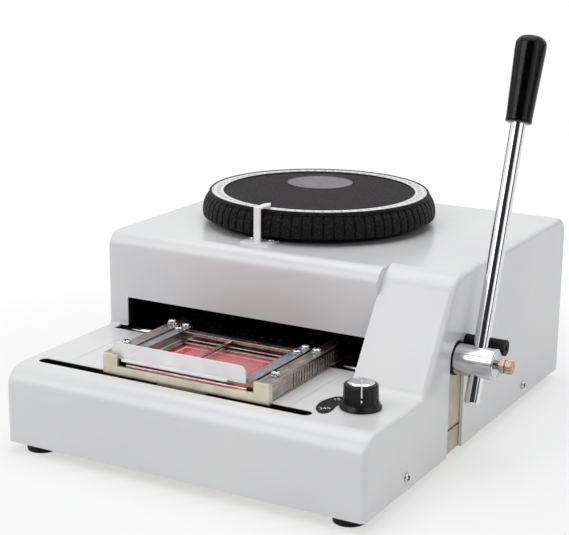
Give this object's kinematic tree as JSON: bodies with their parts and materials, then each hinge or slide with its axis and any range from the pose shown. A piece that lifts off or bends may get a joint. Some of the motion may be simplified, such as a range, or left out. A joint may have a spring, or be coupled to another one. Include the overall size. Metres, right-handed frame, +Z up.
{
  "type": "manual plastic card embosser",
  "caption": "Hand-operated embosser that presses raised characters into plastic cards: a turning character dial, a pull lever and a sliding card carriage on a grey-white housing.",
  "frame": {"origin": "middle of the bottom of the whole part's box, in the plane that the feet stand on", "axes": "+X to the operator's right, +Y away from the operator, +Z up"},
  "size_m": [0.3564, 0.395, 0.3228],
  "materials": {
    "cover_gloss": "gloss, light grey-white",
    "beige_paint": "semi-matt beige paint",
    "black_rubber": "matt",
    "zinc_screw": "bright zinc",
    "cast_frame": "painted casting",
    "tool_steel": "ground",
    "bronze": "machined",
    "chrome": "polished",
    "bright_rod": "ground bright",
    "white_enamel": "satin white",
    "black_plastic": "satin black",
    "dial_grain": "charcoal grain",
    "character_white": "white print ring",
    "badge_grey": "grey-purple anodised, bare",
    "disc_alloy": "turned",
    "brown_steel": "dark brown blued",
    "yellow_zinc": "yellow chromate",
    "light_zinc": "clear zinc",
    "tray_brown": "pinkish-brown plated",
    "card_red": "red gloss laminate",
    "knob_black": "satin black",
    "cap_alloy": "spun",
    "label_black": "matt film",
    "spring_steel": "spring wire"
  },
  "bodies": {
    "housing": {"cover_shell": "cover_gloss", "table_panel": "cover_gloss", "base_pan": "beige_paint", "rubber_feet": "black_rubber", "base_screws": "zinc_screw", "pan_screws": "zinc_screw", "press_frame": "cast_frame", "anvil_block": "tool_steel", "side_plate": "beige_paint", "bearing_block": "cast_frame", "bronze_bushes": "bronze", "hub_washer": "black_rubber", "stop_bumper": "black_rubber", "ram_guide": "bronze", "guide_rods": "bright_rod", "guide_brackets": "cast_frame", "pointer_strip": "white_enamel", "knob_label": "label_black", "knob_bush": "bronze"},
    "dial": {"spindle": "bright_rod", "upper_type_disc": "disc_alloy", "lower_type_disc": "disc_alloy", "upper_type_pins": "tool_steel", "lower_type_pins": "tool_steel", "index_wheel": "tool_steel", "dial_hub": "black_plastic", "grip_ring": "black_plastic", "character_ring": "character_white", "centre_disc": "dial_grain", "badge_plate": "badge_grey"},
    "lever": {"lever_hub": "bright_rod", "lever_rod": "chrome", "lever_grip": "black_plastic", "clamp_screw": "bronze", "lever_crank": "tool_steel"},
    "link": {"connecting_rod": "tool_steel"},
    "cam": {"cam_shaft": "bright_rod", "press_cam": "tool_steel", "cam_crank": "tool_steel"},
    "ram": {"press_ram": "tool_steel", "ram_spring": "spring_steel"},
    "carriage": {"carriage_beam": "disc_alloy", "front_cross_plate": "yellow_zinc", "front_slider": "disc_alloy", "left_rail": "brown_steel", "right_rail": "brown_steel", "rail_screws": "zinc_screw", "feed_rack": "tool_steel"},
    "tray": {"card_tray": "tray_brown", "tray_strips": "light_zinc", "pull_plate": "white_enamel", "tray_clamps": "light_zinc", "card": "card_red", "tray_screws": "zinc_screw"},
    "knob": {"spacing_knob": "knob_black", "knob_cap": "cap_alloy", "knob_shaft": "bright_rod"},
    "index": {"index_arm": "tool_steel"},
    "pawl": {"feed_pawl": "tool_steel"}
  },
  "joints": [
    {"name": "dial_spin", "type": "hinge", "parent": "housing", "child": "dial", "pos_m": [-0.04475, 0.0682, 0.158], "axis": [0, 0, 1], "continuous": true},
    {"name": "lever_pull", "type": "hinge", "parent": "housing", "child": "lever", "pos_m": [0.15125, -0.0415, 0.084], "axis": [1, 0, 0], "range_deg": [0, 70], "stiffness_Nm_per_rad": 0.4, "springref_deg": -22.92},
    {"name": "link_swing", "type": "hinge", "parent": "lever", "child": "link", "pos_m": [0.09325, -0.0325, 0.06841], "axis": [1, 0, 0], "range_deg": [-70, 0]},
    {"name": "cam_turn", "type": "hinge", "parent": "housing", "child": "cam", "pos_m": [-0.04475, -0.0268, 0.132], "axis": [1, 0, 0], "range_deg": [0, 70]},
    {"name": "ram_press", "type": "slide", "parent": "housing", "child": "ram", "axis": [0, 0, -1], "range_m": [0, 0.003], "stiffness_N_per_m": 300, "springref_m": -0.002, "deforming": ["ram_spring"]},
    {"name": "carriage_x", "type": "slide", "parent": "housing", "child": "carriage", "axis": [1, 0, 0], "range_m": [-0.05, 0.032]},
    {"name": "tray_y", "type": "slide", "parent": "carriage", "child": "tray", "axis": [0, 1, 0], "range_m": [0, 0.118]},
    {"name": "knob_turn", "type": "hinge", "parent": "housing", "child": "knob", "pos_m": [0.10125, -0.1395, 0.078], "axis": [0, 0, 1], "range_deg": [0, 60]},
    {"name": "index_swing", "type": "hinge", "parent": "housing", "child": "index", "pos_m": [-0.00475, 0.0044, 0.114], "axis": [0, 0, 1], "range_deg": [0, 8], "stiffness_Nm_per_rad": 0.1, "springref_deg": -5.73},
    {"name": "pawl_swing", "type": "hinge", "parent": "housing", "child": "pawl", "pos_m": [-0.01475, -0.0485, 0.033], "axis": [0, 1, 0], "range_deg": [0, 12], "stiffness_Nm_per_rad": 0.05, "springref_deg": -5.73}
  ],
  "couplings": [
    {"joint": "link_swing", "follows": "lever_pull", "ratio": -1},
    {"joint": "cam_turn", "follows": "lever_pull", "ratio": 1},
    {"joint": "ram_press", "follows": "lever_pull", "m_per_rad": 0.0024555}
  ]
}
